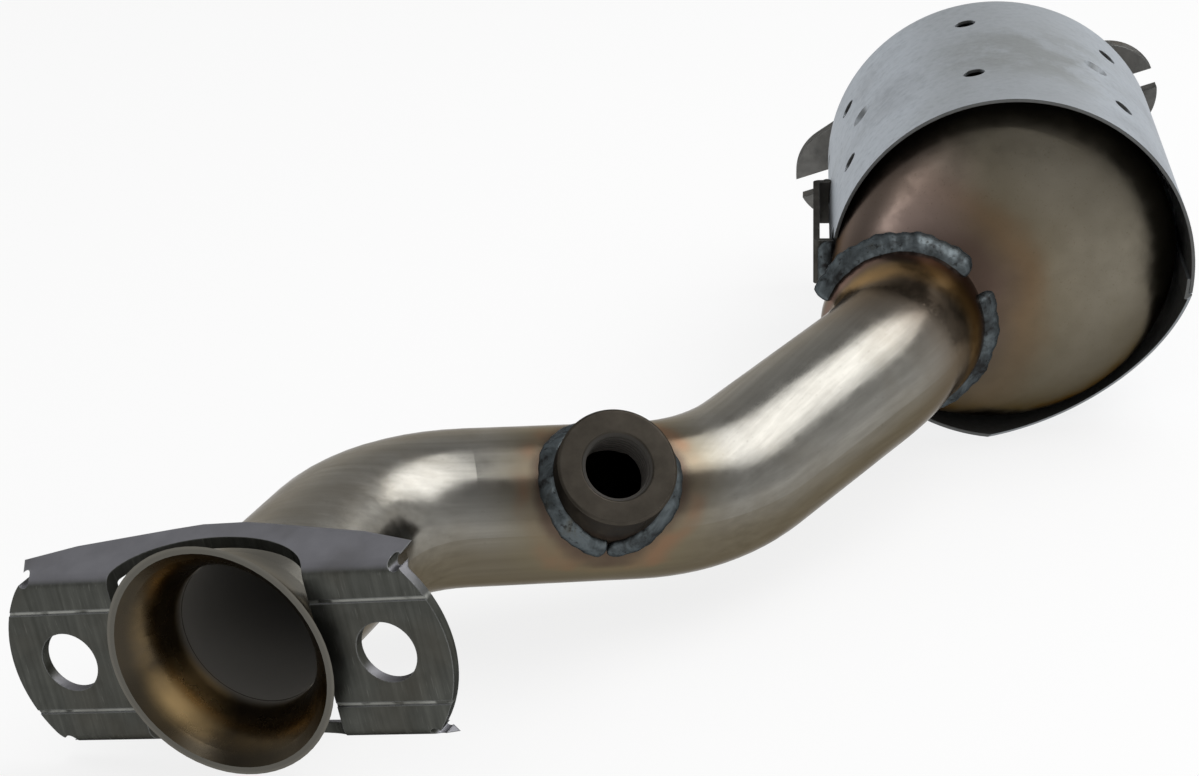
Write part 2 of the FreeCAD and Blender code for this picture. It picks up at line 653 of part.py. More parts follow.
tail_at = V(outlet_mid.x, CAN_FRONT + CAN_LENGTH + CONE_DEPTH, outlet_mid.z)
flange_at = V(outlet_mid.x, OUTLET_END - OUT_FLANGE_THICK, outlet_mid.z)
tail = Part.makeCylinder(outlet_r, 60, tail_at - V(0, 30, 0), can_axis)
collar = Part.makeCylinder(collar_r, 20, tail_at - V(0, 20, 0), can_axis)
save(bead(tail_at, can_axis, outlet_r + 0.9, 0, 360, 2.0).cut(tail).cut(collar),
     "outlet_pipe_weld")
plate = Part.makeBox(200, 20, 200, flange_at - V(100, 0, 100))
save(bead(flange_at, can_axis, outlet_r + 0.4, 0, 360, 2.6).cut(tail).cut(plate),
     "outlet_flange_weld")

relief = make_relief()
save(make_shield_half(SEAM_ANGLE).cut(relief), "heat_shield_upper")
save(make_shield_half(SEAM_ANGLE + 180).cut(relief).cut(make_slant()), "heat_shield_lower")
strap = make_strap()
save(strap, "side_strap")
save(make_strap_weld(strap_front - 1.2, 3.0).cut(strap), "strap_weld_front")
save(make_strap_weld(strap_front + STRAP_LENGTH + 0.6, 2.4).cut(strap), "strap_weld_rear")
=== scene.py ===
import bpy
import json
import math
import random
from mathutils import Matrix, Vector


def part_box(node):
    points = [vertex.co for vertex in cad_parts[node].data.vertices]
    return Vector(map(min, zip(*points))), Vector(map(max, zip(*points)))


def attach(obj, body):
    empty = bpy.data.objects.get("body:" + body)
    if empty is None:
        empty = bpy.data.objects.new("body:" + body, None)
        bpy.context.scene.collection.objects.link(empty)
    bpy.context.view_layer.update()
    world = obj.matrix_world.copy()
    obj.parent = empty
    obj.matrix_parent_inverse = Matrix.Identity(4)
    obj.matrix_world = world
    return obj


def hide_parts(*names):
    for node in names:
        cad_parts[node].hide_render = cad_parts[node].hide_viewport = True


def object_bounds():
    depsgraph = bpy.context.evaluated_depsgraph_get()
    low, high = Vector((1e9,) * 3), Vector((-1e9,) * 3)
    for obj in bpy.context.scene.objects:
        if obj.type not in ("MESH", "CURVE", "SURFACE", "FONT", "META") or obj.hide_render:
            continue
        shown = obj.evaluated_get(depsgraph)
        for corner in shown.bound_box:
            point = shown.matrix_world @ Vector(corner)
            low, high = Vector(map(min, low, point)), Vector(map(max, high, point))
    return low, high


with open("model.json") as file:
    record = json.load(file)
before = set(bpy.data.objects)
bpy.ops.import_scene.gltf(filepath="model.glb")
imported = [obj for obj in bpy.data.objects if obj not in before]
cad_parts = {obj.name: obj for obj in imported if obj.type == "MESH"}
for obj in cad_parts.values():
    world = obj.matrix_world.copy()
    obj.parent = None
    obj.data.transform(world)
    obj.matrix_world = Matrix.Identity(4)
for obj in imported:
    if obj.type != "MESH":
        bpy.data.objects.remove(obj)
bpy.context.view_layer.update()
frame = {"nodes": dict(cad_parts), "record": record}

NODES = frame["nodes"]
random.seed(7)

# ------------------------------------------------------------------ places
# Points and lengths are in millimetres from the mouth of the pipe; at() carries a point over to
# the frame, in metres. The materials measure in metres.
MM = 0.001
ORIGIN = Vector((0.161, 4.552, -1.255))       # frame origin, measured from the mouth of the pipe


def at(x, y, z):
    """A point laid out from the middle of the flared mouth, in millimetres."""
    return (Vector((x, y, z)) - ORIGIN) * MM


RIGHTWARD = Vector((1, 0, 0))
REARWARD = Vector((0, 1, 0))
UPWARD = Vector((0, 0, 1))

PIPE_R = 21.0
YAW = math.radians(17)                        # the first run turns this far right of rearward
INLET = Vector((math.sin(YAW), math.cos(YAW), 0))
FIRST_RUN = 85.5
BEND_1 = INLET * FIRST_RUN                    # corners of the first two bends
BEND_2 = Vector((111.0, 107.0, -7.5))
CROSS = (BEND_2 - BEND_1).normalized()        # way of the run that carries the boss
BOSS_SHARE = 0.66                             # where the boss stands on that run
FOOT = BEND_1 + (BEND_2 - BEND_1) * BOSS_SHARE
LEVEL = Vector((CROSS.y, -CROSS.x, 0)).normalized()
TIP = math.radians(42)                        # the boss is tipped up from level
BOSS = LEVEL * math.cos(TIP) + LEVEL.cross(CROSS).normalized() * math.sin(TIP)
ACROSS = CROSS.cross(BOSS).normalized()
DROP = math.radians(5)                        # the neck slopes down towards the rear
NECK = Vector((0, math.cos(DROP), -math.sin(DROP)))
NECK_MOUTH = Vector((166, 200, 5))
CAN_MID = Vector((199, 0, 14.5))
FLANGE_UP = (-0.18738, 0.05729, 0.98061)      # up in the tilted face of the inlet flange

MOUTH_AT = at(0, 0, 0)
FOOT_AT = at(*FOOT)
NECK_AT = at(*NECK_MOUTH)
CAN_AT = at(*CAN_MID)


# ------------------------------------------------------------------ node-graph helpers
def rgb(colour):
    """Colour given as sRGB 0-255 values, as linear RGBA."""
    linear = []
    for c in colour:
        c = c / 255
        linear.append(c / 12.92 if c <= 0.04045 else ((c + 0.055) / 1.055) ** 2.4)
    return (*linear, 1.0)


class Nodes:
    """Makes and links the nodes of one tree."""

    def __init__(self, tree):
        self.tree = tree
        self.tree.nodes.clear()

    def node(self, kind, **settings):
        made = self.tree.nodes.new(kind)
        for key, value in settings.items():
            setattr(made, key, value)
        return made

    def link(self, source, socket):
        self.tree.links.new(source, socket)

    def put(self, socket, value):
        """Links a socket to another one, or sets its value."""
        if isinstance(value, bpy.types.NodeSocket):
            self.link(value, socket)
        else:
            socket.default_value = value

    def maths(self, operation, first, second=0.0):
        made = self.node("ShaderNodeMath", operation=operation)
        self.put(made.inputs[0], first)
        self.put(made.inputs[1], second)
        return made.outputs[0]

    def times(self, first, second):
        return self.maths("MULTIPLY", first, second)

    def plus(self, first, second):
        return self.maths("ADD", first, second)

    def without(self, share):
        """What a share leaves of 1."""
        return self.maths("SUBTRACT", 1.0, share)

    def drifting(self, cloud, size):
        """A cloud turned into an offset to both sides of 0."""
        return self.times(self.maths("SUBTRACT", cloud, 0.5), size)

    def span(self, value, low, high, to_low=0.0, to_high=1.0):
        """Value carried smoothly from low..high to to_low..to_high, and held outside."""
        made = self.node("ShaderNodeMapRange", interpolation_type="SMOOTHSTEP")
        self.put(made.inputs["Value"], value)
        made.inputs["From Min"].default_value = low
        made.inputs["From Max"].default_value = high
        made.inputs["To Min"].default_value = to_low
        made.inputs["To Max"].default_value = to_high
        return made.outputs[0]

    def hump(self, value, middle, width):
        """1 at the middle, falling to 0 a width away on both sides."""
        away = self.maths("ABSOLUTE", self.maths("SUBTRACT", value, middle))
        return self.span(away, 0.0, width, 1.0, 0.0)

    def ramp(self, value, *stops):
        """Colours along a value; a colour of four numbers is linear already."""
        made = self.node("ShaderNodeValToRGB")
        self.link(value, made.inputs[0])
        bar = made.color_ramp.elements
        while len(bar) < len(stops):
            bar.new(0.5)
        for stop, (place, colour) in zip(bar, stops):
            stop.position = place
            stop.color = colour if len(colour) == 4 else rgb(colour)
        return made.outputs[0]

    def seen_straight(self, path):
        """1 for the rays of a light path that show a thing as such: camera, gloss or glass."""
        bounced = self.maths("MAXIMUM", path["Is Glossy Ray"], path["Is Transmission Ray"])
        return self.maths("MAXIMUM", path["Is Camera Ray"], bounced)

    def blend(self, share, first, second):
        """Two shaders mixed by a share of the second."""
        made = self.node("ShaderNodeMixShader")
        self.link(share, made.inputs[0])
        self.link(first, made.inputs[1])
        self.link(second, made.inputs[2])
        return made.outputs[0]


class Graph(Nodes):
    """Builds one procedural material on a Principled shader."""

    def __init__(self, name):
        self.material = bpy.data.materials.new(name)
        self.material.use_nodes = True
        super().__init__(self.material.node_tree)
        self.shader = self.node("ShaderNodeBsdfPrincipled")
        self.surface = self.node("ShaderNodeOutputMaterial").inputs[0]
        self.link(self.shader.outputs[0], self.surface)
        self.place = self.node("ShaderNodeTexCoord").outputs["Object"]
        self.facing = self.node("ShaderNodeNewGeometry").outputs["Normal"]

    def vectors(self, operation, first, second=None):
        """Node of vector maths; it gives a vector or a value, by its operation."""
        made = self.node("ShaderNodeVectorMath", operation=operation)
        self.link(first, made.inputs[0])
        if second is not None:
            self.put(made.inputs[1], second)
        return made.outputs

    def noise(self, scale, detail=3.0, rough=0.5, stretch=None, warp=0.0):
        made = self.node("ShaderNodeTexNoise")
        made.inputs["Scale"].default_value = scale
        made.inputs["Detail"].default_value = detail
        made.inputs["Roughness"].default_value = rough
        made.inputs["Distortion"].default_value = warp
        place = self.vectors("MULTIPLY", self.place, stretch)[0] if stretch else self.place
        self.link(place, made.inputs["Vector"])
        return made.outputs["Fac"]

    def grain(self, axis, stretch, scale, detail):
        """Noise read along an axis: its x runs along it, so a small x draws lines along it."""
        spin = Vector(axis).to_track_quat("X", "Z").to_matrix().transposed().to_euler()
        turned = self.node("ShaderNodeMapping", vector_type="POINT")
        self.link(self.place, turned.inputs["Vector"])
        turned.inputs["Rotation"].default_value = spin
        made = self.node("ShaderNodeTexNoise")
        made.inputs["Scale"].default_value = scale
        made.inputs["Detail"].default_value = detail
        grown = self.vectors("MULTIPLY", turned.outputs[0], stretch)[0]
        self.link(grown, made.inputs["Vector"])
        return made.outputs["Fac"]

    def cell_walls(self, scale):
        """Distance to the nearest wall between random cells."""
        made = self.node("ShaderNodeTexVoronoi", feature="DISTANCE_TO_EDGE")
        made.inputs["Scale"].default_value = scale
        self.link(self.place, made.inputs["Vector"])
        return made.outputs["Distance"]

    def bands(self, direction, scale):
        """Even waves across one axis."""
        made = self.node("ShaderNodeTexWave", wave_type="BANDS", bands_direction=direction)
        made.inputs["Scale"].default_value = scale
        self.link(self.place, made.inputs["Vector"])
        return made.outputs["Fac"]

    def mix(self, share, first, second):
        made = self.node("ShaderNodeMix", data_type="RGBA", blend_type="MIX")
        self.put(made.inputs[0], share)
        for socket, colour in ((made.inputs[6], first), (made.inputs[7], second)):
            self.put(socket, colour if isinstance(colour, bpy.types.NodeSocket) else rgb(colour))
        return made.outputs[2]

    def away(self, point):
        """Distance from a point, in metres."""
        return self.vectors("DISTANCE", self.place, point)["Value"]

    def dot(self, vector, axis, start=None):
        """How far along an axis, from a starting point."""
        if start is not None:
            vector = self.vectors("SUBTRACT", vector, start)[0]
        return self.vectors("DOT_PRODUCT", vector, axis)["Value"]

    def radial(self, start, axis):
        """Vector from an axis line to the point."""
        shift = self.vectors("SUBTRACT", self.place, start)[0]
        onto = self.vectors("PROJECT", shift, axis)[0]
        return self.vectors("SUBTRACT", shift, onto)[0]

    def out_from(self, start, axis):
        """Distance from an axis line, in metres."""
        return self.vectors("LENGTH", self.radial(start, axis))["Value"]

    def inward(self, start, axis):
        """1 where the surface looks towards an axis line; edges and end faces count as outside."""
        way = self.vectors("NORMALIZE", self.radial(start, axis))[0]
        return self.maths("LESS_THAN", self.dot(self.facing, way), -0.35)

    def soft_edges(self, radius):
        """Normal that rounds sharp edges off by a radius."""
        made = self.node("ShaderNodeBevel", samples=4)
        made.inputs["Radius"].default_value = radius
        return made.outputs[0]

    def edge_wear_and_highlight_mask(self, radius):
        """1 along sharp edges, fading within a radius."""
        level = self.dot(self.soft_edges(radius), self.facing)
        return self.span(level, 0.80, 0.97, 1.0, 0.0)

    def bump(self, height, distance, strength, under=None):
        made = self.node("ShaderNodeBump")
        made.inputs["Strength"].default_value = strength
        made.inputs["Distance"].default_value = distance
        self.link(height, made.inputs["Height"])
        if under is not None:
            self.link(under, made.inputs["Normal"])
        return made.outputs[0]

    def done(self, colour, rough, metal, normal=None, edge=None):
        """Fills the shader's sockets; edge is the tint of its reflection at a grazing angle."""
        self.put(self.shader.inputs["Base Color"], colour)
        self.put(self.shader.inputs["Roughness"], rough)
        self.put(self.shader.inputs["Metallic"], metal)
        if edge:
            self.shader.inputs["Specular Tint"].default_value = rgb(edge)
        if normal is not None:
            self.link(normal, self.shader.inputs["Normal"])
        return self.material


# ------------------------------------------------------------------ materials
ALONG = (1, 40, 40)                           # stretch that draws fine lines along an axis


def stainless_skin(g, colour):
    """Fine unevenness that the pipe and the can share; returns the colour and a cloud."""
    dull_grey, speckle = (106, 98, 84), (70, 64, 56)
    cloud = g.noise(34, 4, 0.55)
    colour = g.mix(g.span(cloud, 0.4, 0.7, 0.0, 0.4), colour, dull_grey)
    colour = g.mix(g.span(g.noise(1100, 2, 0.6), 0.64, 0.76, 0.0, 0.25), colour, speckle)
    return colour, cloud


def pipe_streaks(g):
    """Brushed lines along the run with the boss, and along the rising run after its bend."""
    streak = g.node("ShaderNodeMix", data_type="FLOAT")
    g.link(g.span(g.dot(g.place, CROSS, FOOT_AT), 0.015, 0.04), streak.inputs[0])
    g.link(g.grain(CROSS, ALONG, 14, 3), streak.inputs[2])
    g.link(g.grain((NECK_MOUTH - BEND_2).normalized(), ALONG, 14, 3), streak.inputs[3])
    return streak.outputs[0]


def boss_tints(g, colour, wobble):
    """Heat tints round the boss, which stay off the far side of the pipe."""
    olive, copper, scale_brown = (112, 103, 82), (132, 98, 76), (80, 66, 58)
    behind = g.span(g.dot(g.place, BOSS, FOOT_AT), 0.008, -0.006, 0.0, 0.03)
    far = g.plus(g.plus(g.out_from(FOOT_AT, BOSS), wobble), behind)
    colour = g.mix(g.span(far, 0.021, 0.036, 0.75, 0.0), colour, olive)
    patches = g.span(g.noise(70, 2, 0.5), 0.36, 0.62, 0.1, 0.6)
    colour = g.mix(g.times(g.hump(far, 0.0228, 0.0050), patches), colour, copper)
    return g.mix(g.span(far, 0.0185, 0.0225, 0.85, 0.0), colour, scale_brown)


def neck_tints(g, colour, cloud, wobble):
    """Brown, gold and purple bands, in turn towards the weld at the dome."""
    brown_dark, brown_light = (88, 76, 64), (108, 94, 78)
    gold, purple, edge_brown = (176, 142, 94), (136, 108, 102), (112, 92, 80)
    far = g.plus(g.dot(g.place, NECK * -1, NECK_AT), wobble)
    near = g.span(g.away(NECK_AT), 0.06, 0.085, 1.0, 0.0)
    brown = g.times(g.span(far, 0.024, 0.058, 0.92, 0.0), near)
    colour = g.mix(brown, colour, g.mix(cloud, brown_dark, brown_light))
    colour = g.mix(g.times(g.hump(far, 0.0175, 0.0065), g.times(near, 0.6)), colour, gold)
    colour = g.mix(g.times(g.hump(far, 0.0080, 0.0065), g.times(near, 0.65)), colour, purple)
    return g.mix(g.times(g.span(far, 0.0010, 0.0040, 0.5, 0.0), near), colour, edge_brown)


def bore_mask(g, depth, reach):
    """1 on the inner faces of the flare, of the straight bore and of the start of the bend."""
    bell = g.maths("LESS_THAN", depth, 0.0185)
    tube = g.times(g.maths("LESS_THAN", reach, 0.0203), g.maths("LESS_THAN", depth, 0.062))
    turn = g.times(g.maths("LESS_THAN", reach, 0.0187), g.maths("LESS_THAN", depth, 0.078))
    hollow = g.maths("MAXIMUM", bell, g.maths("MAXIMUM", tube, turn))
    return g.times(g.inward(MOUTH_AT, INLET), hollow)


def bell_gold(g, depth, cloud):
    """Gold of the flare's inside, with a painted highlight and a dark rim."""
    bronze = ((0.3, (80, 70, 54)), (0.5, (98, 84, 62)), (0.7, (84, 74, 60)))
    bright, rim = (250, 212, 150), (58, 54, 47)
    gold = g.ramp(g.noise(70, 3, 0.6), *bronze)
    # Painted highlight: a bright gold patch where a reflection falls on the lower left inside the
    # flare.
    patch = g.plus(g.away(at(-11, 11.5, -17)), g.drifting(cloud, 0.012))
    gold = g.mix(g.span(patch, 0.002, 0.015, 1.0, 0.0), gold, bright)
    return g.mix(g.span(depth, 0.0050, 0.0012, 0.0, 0.85), gold, rim)


def pipe_steel():
    """Brushed tube with heat tints, a gold flare and a sooty bore; painted shade on its underside
    and a painted highlight inside the flare.
    """
    brushed = ((0.3, (134, 132, 126)), (0.7, (146, 144, 138)))
    painted_shade_dark, painted_shade_light = (86, 78, 63), (112, 104, 87)
    lip_dark, soot_grey, flare_grey = (54, 52, 47), (112, 110, 106), (98, 96, 90)
    g = Graph("pipe_steel")
    streak = pipe_streaks(g)
    colour, cloud = stainless_skin(g, g.ramp(streak, *brushed))
    wobble = g.drifting(cloud, 0.010)
    # Painted shade: the colour darkens on the faces that look down.
    under = g.span(g.dot(g.facing, UPWARD), 0.40, -0.30, 0.0, 0.9)
    colour = g.mix(under, colour, g.mix(streak, painted_shade_dark, painted_shade_light))
    colour = boss_tints(g, colour, wobble)
    colour = neck_tints(g, colour, cloud, wobble)

    depth = g.dot(g.place, INLET, MOUTH_AT)
    reach = g.out_from(MOUTH_AT, INLET)
    inside = bore_mask(g, depth, reach)
    lip = g.times(g.span(depth, 0.0008, 0.0004), g.span(reach, 0.0297, 0.0291))
    colour = g.mix(lip, colour, lip_dark)
    soot = g.span(depth, 0.0135, 0.0185)
    colour = g.mix(inside, colour, g.mix(soot, bell_gold(g, depth, cloud), soot_grey))
    outer = g.times(g.span(depth, 0.032, 0.014, 0.0, 0.85), g.without(inside))
    colour = g.mix(outer, colour, flare_grey)

    rough = g.span(g.noise(120, 4, 0.6), 0.3, 0.7, 0.17, 0.27)
    rough = g.plus(rough, g.times(inside, g.span(depth, 0.010, 0.020, 0.05, 0.45)))
    metal = g.without(g.times(inside, soot))
    dents = g.bump(g.noise(24, 2, 0.4), 0.0008, 0.35, g.bump(streak, 0.00004, 0.4))
    return g.done(colour, rough, metal, dents, (196, 192, 186))


def flange_steel():
    """Dark drawn sheet with a painted highlight along its fold, painted light on its up-facing rim,
    and lighter edges that are partly wear and partly a painted edge highlight.
    """
    sheet = ((0.25, (68, 69, 65)), (0.55, (78, 79, 75)), (0.8, (90, 91, 86)))
    scratch, painted_fold_highlight_grey, stain_brown = (112, 113, 108), (150, 151, 146), (74, 70, 62)
    painted_light_rim_dark, painted_light_rim_light, edge_wear_and_highlight = (126, 126, 130), (154, 154, 160), (158, 160, 160)
    edge_r = 0.0005
    g = Graph("flange_steel")
    streak = g.grain(FLANGE_UP, (1, 30, 30), 24, 4)
    fine = g.grain(FLANGE_UP, (1, 12, 12), 160, 3)
    colour = g.ramp(streak, *sheet)
    colour = g.mix(g.span(fine, 0.6, 0.75, 0.0, 0.5), colour, scratch)
    level = g.maths("ABSOLUTE", g.dot(g.place, FLANGE_UP, (0, 0, 0)))
    # Painted highlight: a lighter broken line along the fold of the sheet.
    painted_fold_highlight = g.times(g.hump(level, 0.0134, 0.0008), g.span(g.noise(160, 2), 0.38, 0.5))
    colour = g.mix(painted_fold_highlight, colour, painted_fold_highlight_grey)
    # Painted light: the faces that look up along the flange's face are painted lighter.
    rim = g.span(g.dot(g.facing, FLANGE_UP), 0.35, 0.8)
    colour = g.mix(rim, colour, g.mix(g.noise(90, 4), painted_light_rim_dark, painted_light_rim_light))
    colour = g.mix(g.span(g.noise(30, 3, 0.6), 0.5, 0.72, 0.0, 0.4), colour, stain_brown)
    # Lighter edges: partly wear and partly a painted edge highlight.
    colour = g.mix(g.times(g.edge_wear_and_highlight_mask(edge_r), 0.55), colour, edge_wear_and_highlight)
    rough = g.span(g.noise(200, 3), 0.3, 0.7, 0.36, 0.52)
    lines = g.bump(streak, 0.00006, 0.5, g.soft_edges(edge_r))
    pits = g.bump(g.noise(500, 2), 0.00005, 0.4, lines)
    return g.done(colour, rough, 0.9, pits, (110, 110, 110))


def boss_steel():
    """Dark turned steel, browner at the foot and dull in the bore."""
    turned_grey = ((0.3, (62, 58, 52)), (0.7, (78, 73, 66)))
    foot_brown, bore_grey, edge_wear_and_highlight = (78, 68, 60), (66, 64, 61), (124, 118, 108)
    bore_r, edge_r = 0.0092, 0.0004
    g = Graph("boss_steel")
    rings = g.node("ShaderNodeTexWave", wave_type="RINGS", rings_direction="SPHERICAL")
    rings.inputs["Scale"].default_value = 900
    rings.inputs["Distortion"].default_value = 1.5
    g.link(g.radial(FOOT_AT, BOSS), rings.inputs["Vector"])
    colour = g.ramp(g.noise(160, 4, 0.6), *turned_grey)
    rise = g.dot(g.place, BOSS, FOOT_AT)
    colour = g.mix(g.span(rise, 0.0225, 0.0190, 0.0, 0.7), colour, foot_brown)
    bore = g.maths("LESS_THAN", g.out_from(FOOT_AT, BOSS), bore_r)
    colour = g.mix(bore, colour, bore_grey)
    # Lighter edges: partly wear and partly a painted edge highlight.
    colour = g.mix(g.times(g.edge_wear_and_highlight_mask(edge_r), 0.35), colour, edge_wear_and_highlight)
    rough = g.span(g.noise(300, 3), 0.3, 0.7, 0.36, 0.5)
    metal = g.times(g.without(bore), 0.85)
    lines = g.bump(rings.outputs["Fac"], 0.00003, 0.2, g.soft_edges(edge_r))
    return g.done(colour, rough, metal, lines, (90, 80, 72))


def weld_metal():
    """Blue-grey beads with dark specks."""
    greys = ((0.30, (46, 46, 46)), (0.43, (72, 77, 79)), (0.58, (94, 101, 104)),
             (0.74, (78, 78, 73)))
    soot_speck = (38, 36, 35)
    g = Graph("weld_metal")
    patch = g.noise(150, 4, 0.62, warp=0.5)
    colour = g.ramp(patch, *greys)
    colour = g.mix(g.span(g.noise(420, 3, 0.7), 0.58, 0.68, 0.0, 0.7), colour, soot_speck)
    pits = g.bump(g.noise(700, 3, 0.6), 0.00018, 0.5)
    return g.done(colour, g.span(patch, 0.3, 0.7, 0.5, 0.34), 0.8, pits, (96, 102, 106))


def dome_steel():
    """Pressed steel with heat rings round the neck, a pink tint lightened into a painted highlight,
    and painted shade at its edge towards the can and on its underside.
    """
    pressed = ((0.3, (114, 108, 95)), (0.5, (126, 120, 107)), (0.7, (119, 112, 96)))
    straw, copper, purple_brown = (104, 92, 70), (110, 82, 58), (84, 68, 62)
    pink_painted_highlight, rim_painted_shade, underside_painted_shade, speckle = (168, 148, 140), (74, 69, 60), (82, 76, 64), (88, 78, 60)
    g = Graph("dome_steel")
    cloud = g.noise(20, 4, 0.55)
    colour = g.ramp(cloud, *pressed)
    ring = g.plus(g.out_from(NECK_AT, NECK), g.drifting(cloud, 0.020))
    colour = g.mix(g.span(ring, 0.032, 0.064, 0.75, 0.0), colour, straw)
    colour = g.mix(g.times(g.hump(ring, 0.0380, 0.010), 0.45), colour, copper)
    colour = g.mix(g.span(ring, 0.0270, 0.0400, 0.85, 0.0), colour, purple_brown)
    # Painted highlight: a pink tint painted lighter towards a point on the upper left of the dome.
    top = g.span(g.away(at(160, 218, 42)), 0.010, 0.034, 0.6, 0.0)
    colour = g.mix(top, colour, pink_painted_highlight)
    # Painted shade: the dome darkens towards its rim at the can, under the shield's overhang.
    edge = g.out_from(CAN_AT, REARWARD)
    colour = g.mix(g.span(edge, 0.034, 0.048, 0.0, 0.5), colour, rim_painted_shade)
    # Painted shade: the colour darkens on the faces that look down.
    under = g.span(g.dot(g.facing, UPWARD), 0.16, -0.30, 0.0, 0.6)
    colour = g.mix(under, colour, underside_painted_shade)
    colour = g.mix(g.span(g.noise(1400, 2, 0.6), 0.6, 0.75, 0.0, 0.3), colour, speckle)
    rough = g.span(g.noise(150, 4, 0.6), 0.3, 0.7, 0.28, 0.42)
    dents = g.bump(g.noise(40, 3, 0.5), 0.0006, 0.3)
    return g.done(colour, rough, 1.0, dents, (150, 142, 132))


def can_steel():
    """Rolled steel of the can and the rear cone, tinted at the cone's small end."""
    rolled = ((0.3, (120, 116, 108)), (0.7, (146, 142, 134)))
    small_end_y, tint = 343, (116, 92, 64)
    g = Graph("can_steel")
    round_lines = g.noise(60, 3, 0.5, (6, 60, 6))
    colour, cloud = stainless_skin(g, g.ramp(round_lines, *rolled))
    near = g.dot(g.place, REARWARD, at(0, small_end_y, 0))
    colour = g.mix(g.hump(near, 0.0, 0.012), colour, tint)
    rough = g.span(cloud, 0.3, 0.7, 0.26, 0.38)
    return g.done(colour, rough, 1.0, g.bump(g.noise(60, 3), 0.0004, 0.3), (120, 114, 106))


def shield_sheet():
    """Pale dull sheet with a smudge, scuffs, darker cut edges, painted shade on its top and painted
    shade on its inside.
    """
    zinc = ((0.25, (164, 169, 174)), (0.5, (182, 188, 194)), (0.75, (172, 177, 181)))
    grit, smudge_grey, scuff_light = (132, 136, 140), (122, 124, 118), (190, 195, 198)
    edge_wear_and_highlight, cut_edge, top_painted_shade_grey = (120, 122, 120), (96, 97, 96), (158, 161, 162)
    inside_painted_shade_dark, inside_painted_shade_light = (60, 60, 58), (74, 73, 71)
    edge_r = 0.0004
    g = Graph("shield_sheet")
    inside = g.inward(CAN_AT, REARWARD)
    cloud = g.noise(26, 4, 0.6)
    fine = g.noise(420, 3, 0.6)
    colour = g.ramp(cloud, *zinc)
    colour = g.mix(g.span(fine, 0.5, 0.8, 0.0, 0.25), colour, grit)
    smudge = g.span(g.away(at(208, 268, 66)), 0.012, 0.040, 0.7, 0.0)
    smudge = g.times(smudge, g.span(g.noise(60, 4, 0.7), 0.32, 0.6))
    colour = g.mix(smudge, colour, smudge_grey)
    scuff = g.span(g.grain((0.2, 1, 0), (1, 30, 30), 30, 4), 0.66, 0.74, 0.0, 0.4)
    colour = g.mix(scuff, colour, scuff_light)
    colour = g.mix(g.times(g.edge_wear_and_highlight_mask(edge_r), 0.4), colour, edge_wear_and_highlight)
    colour = g.mix(g.span(g.dot(g.facing, -REARWARD), 0.5, 0.9), colour, cut_edge)
    # Painted shade: the faces that look straight up are painted darker.
    crown = g.span(g.dot(g.facing, UPWARD), 0.80, 0.98, 0.0, 0.45)
    colour = g.mix(crown, colour, top_painted_shade_grey)
    # Painted shade: the faces inside the shield, towards the can, are painted dark.
    colour = g.mix(inside, colour, g.mix(cloud, inside_painted_shade_dark, inside_painted_shade_light))
    rough = g.span(fine, 0.3, 0.7, 0.42, 0.56)
    metal = g.span(inside, 0.0, 1.0, 0.85, 0.15)
    waves = g.bump(g.noise(16, 2, 0.4), 0.0012, 0.35, g.soft_edges(edge_r))
    return g.done(colour, rough, metal, g.bump(fine, 0.00003, 0.4, waves), (215, 217, 220))


def scaled_steel(name, scale, stops, edge_wear_and_highlight, edge_wear_and_highlight_share, edge_r, rough, pits, edge):
    """Dark rough plate with lighter edges, partly wear and partly a painted edge highlight.

    rough is a scale with the least and the most; pits are a scale, a depth and a strength."""
    g = Graph(name)
    colour = g.ramp(g.noise(scale, 4, 0.6), *stops)
    # Lighter edges: partly wear and partly a painted edge highlight.
    colour = g.mix(g.times(g.edge_wear_and_highlight_mask(edge_r), edge_wear_and_highlight_share), colour, edge_wear_and_highlight)
    pitted, deep, strength = pits
    skin = g.bump(g.noise(pitted, 3), deep, strength, g.soft_edges(edge_r))
    blotch, least, most = rough
    return g.done(colour, g.span(g.noise(blotch, 3), 0.3, 0.7, least, most), 0.85, skin, edge)


def strap_steel():
    return scaled_steel(
        "strap_steel", scale=120, stops=((0.3, (62, 60, 56)), (0.7, (88, 86, 82))),
        edge_wear_and_highlight=(140, 142, 142), edge_wear_and_highlight_share=0.5, edge_r=0.0005, rough=(300, 0.4, 0.55),
        pits=(500, 0.00005, 0.4), edge=(110, 110, 110))


def outlet_steel():
    return scaled_steel(
        "outlet_steel", scale=90,
        stops=((0.3, (92, 92, 90)), (0.6, (122, 121, 118)), (0.8, (128, 120, 110))),
        edge_wear_and_highlight=(140, 142, 140), edge_wear_and_highlight_share=0.6, edge_r=0.0006, rough=(260, 0.4, 0.6),
        pits=(700, 0.00012, 0.5), edge=(100, 100, 100))


def block_ceramic():
    """Square cells seen from the block's ends."""
    g = Graph("block_ceramic")
    wall = g.maths("MAXIMUM", g.bands("X", 250), g.bands("Z", 250))
    colour = g.ramp(wall, (0.6, (60, 54, 44)), (0.8, (176, 166, 140)))
    return g.done(colour, 0.9, 0.0, g.bump(wall, 0.0003, 0.8))


def mat_fibre():
    g = Graph("mat_fibre")
    fibre = g.noise(700, 4, 0.7, (1, 6, 1))
    colour = g.ramp(fibre, (0.3, (188, 184, 170)), (0.7, (220, 217, 206)))
    return g.done(colour, 0.95, 0.0, g.bump(fibre, 0.0004, 0.8))


def mesh_wire():
    g = Graph("mesh_wire")
    wire = g.cell_walls(1100)
    colour = g.ramp(wire, (0.05, (170, 168, 162)), (0.25, (50, 50, 48)))
    return g.done(colour, 0.45, 0.8, g.bump(wire, 0.0004, 0.8))


